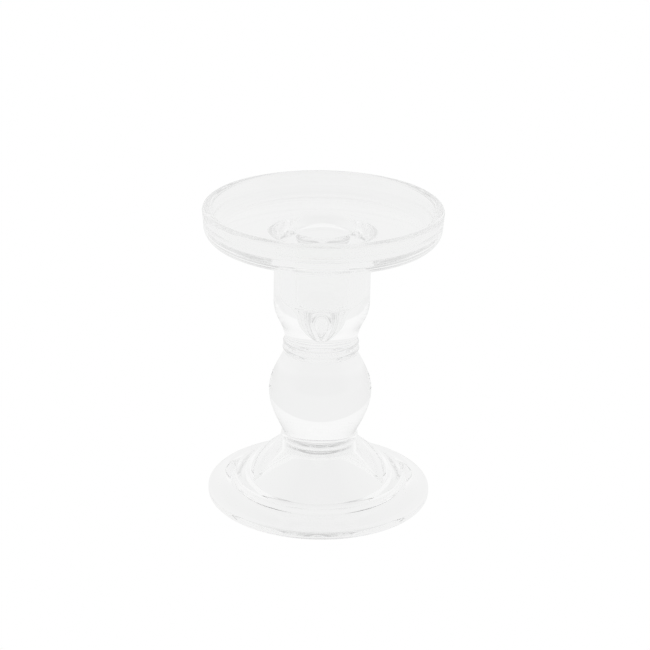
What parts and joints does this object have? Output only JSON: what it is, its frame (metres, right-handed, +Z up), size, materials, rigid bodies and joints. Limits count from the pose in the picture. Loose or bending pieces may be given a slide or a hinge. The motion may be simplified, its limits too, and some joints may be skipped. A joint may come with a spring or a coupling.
{
  "type": "glass candlestick",
  "caption": "Footed clear glass candlestick: a rimmed plate for a pillar candle with a socket for a dinner candle, on a ball stem and a stepped hollow foot.",
  "frame": {"origin": "on the candlestick's axis, in the plane the foot stands on", "axes": "+Z up along the axis, from the foot to the candle plate; the object is round, so X and Y are free"},
  "size_m": [0.1, 0.1, 0.13],
  "materials": {
    "glass_plate": "clear, fire-polished",
    "glass_cup": "clear, fire-polished",
    "glass_top_collar": "clear, fire-polished",
    "glass_ball": "clear, fire-polished",
    "glass_base_collar": "clear, fire-polished",
    "glass_foot": "clear, fire-polished"
  },
  "bodies": {
    "root": {"plate": "glass_plate", "cup": "glass_cup", "top_collar": "glass_top_collar", "ball": "glass_ball", "base_collar": "glass_base_collar", "foot": "glass_foot"}
  },
  "joints": []
}
